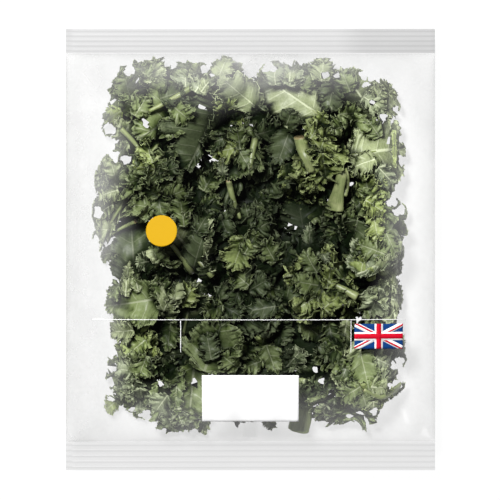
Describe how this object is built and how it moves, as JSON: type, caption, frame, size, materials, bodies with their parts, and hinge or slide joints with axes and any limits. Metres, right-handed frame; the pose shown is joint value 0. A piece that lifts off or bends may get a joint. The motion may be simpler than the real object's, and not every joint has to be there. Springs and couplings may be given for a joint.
{
  "type": "bag of curly kale",
  "caption": "Clear pillow bag of chopped curly kale lying on its back, with a crimped seal at each end, a lapped back seam and a blank white label.",
  "frame": {"origin": "middle of the face the bag lies on, below the centre of its outline", "axes": "+X to the bag's right as its front is read, +Y to its top seal, +Z out of its front"},
  "size_m": [0.25, 0.299, 0.0577],
  "materials": {
    "film": "clear glossy film",
    "dark_leaf": "matte curly leaf, deep green",
    "green_leaf": "matte curly leaf, mid green",
    "pale_leaf": "matte leaf underside, pale grey green",
    "stalk": "satin stalk, pale yellow green",
    "print_white": "opaque white print on film",
    "badge_yellow": "opaque yellow print on film",
    "flag_blue": "opaque blue print on film",
    "flag_red": "opaque red print on film"
  },
  "bodies": {
    "root": {"film_sleeve": "film", "back_seam": "film", "top_seal": "film", "bottom_seal": "film", "under_piece_1": "green_leaf", "under_piece_2": "dark_leaf", "under_piece_3": "green_leaf", "under_piece_4": "dark_leaf", "under_piece_5": "green_leaf", "under_piece_6": "dark_leaf", "under_piece_7": "green_leaf", "under_piece_8": "dark_leaf", "dark_frill_centre_top": "dark_leaf", "dark_blade_right": "green_leaf", "round_blade_left": "green_leaf", "dark_frill_left_top": "dark_leaf", "frill_top_right_of_centre": "dark_leaf", "dark_blade_top_left": "green_leaf", "dark_frill_centre": "dark_leaf", "dark_frill_lower_centre": "dark_leaf", "dark_blade_lower_right": "green_leaf", "frill_right_low": "dark_leaf", "smooth_blade_lower_left": "green_leaf", "dark_frill_right_edge": "dark_leaf", "frill_top_left_corner": "dark_leaf", "blade_top_left": "green_leaf", "frill_top": "dark_leaf", "frill_upper_left_edge": "dark_leaf", "pale_blade_upper_left": "green_leaf", "tip_top_centre": "dark_leaf", "long_rib_blade_top_left": "pale_leaf", "folded_blade_left_of_centre": "pale_leaf", "pale_edge_frill_left": "dark_leaf", "pale_rib_blade_left_edge": "pale_leaf", "blade_tip_top_right": "green_leaf", "tip_far_top_right": "dark_leaf", "folded_blade_top_right": "green_leaf", "frill_right_upper": "dark_leaf", "frill_right_inner": "dark_leaf", "pale_strip_right_edge": "pale_leaf", "frill_left_of_centre": "dark_leaf", "blade_above_centre": "green_leaf", "bright_frill_lower_left": "dark_leaf", "frill_lower_left_edge": "dark_leaf", "broad_blade_left": "green_leaf", "stalked_blade_centre_left": "pale_leaf", "frill_bottom_left": "dark_leaf", "rib_blade_bottom_left": "green_leaf", "pale_tip_lower_left": "green_leaf", "grey_blade_lower_centre": "green_leaf", "wide_stalk_bottom": "stalk", "frill_bottom_right": "dark_leaf", "rib_blade_lower_right": "green_leaf", "stalked_tip_right_bottom": "pale_leaf", "large_pale_blade_top": "green_leaf", "large_pale_blade_right": "pale_leaf", "stalked_frill_upper_right": "pale_leaf", "stalk_end_right_of_centre": "stalk", "large_frill_right_of_centre": "pale_leaf", "grey_folded_blade_right": "pale_leaf"}
  },
  "joints": []
}
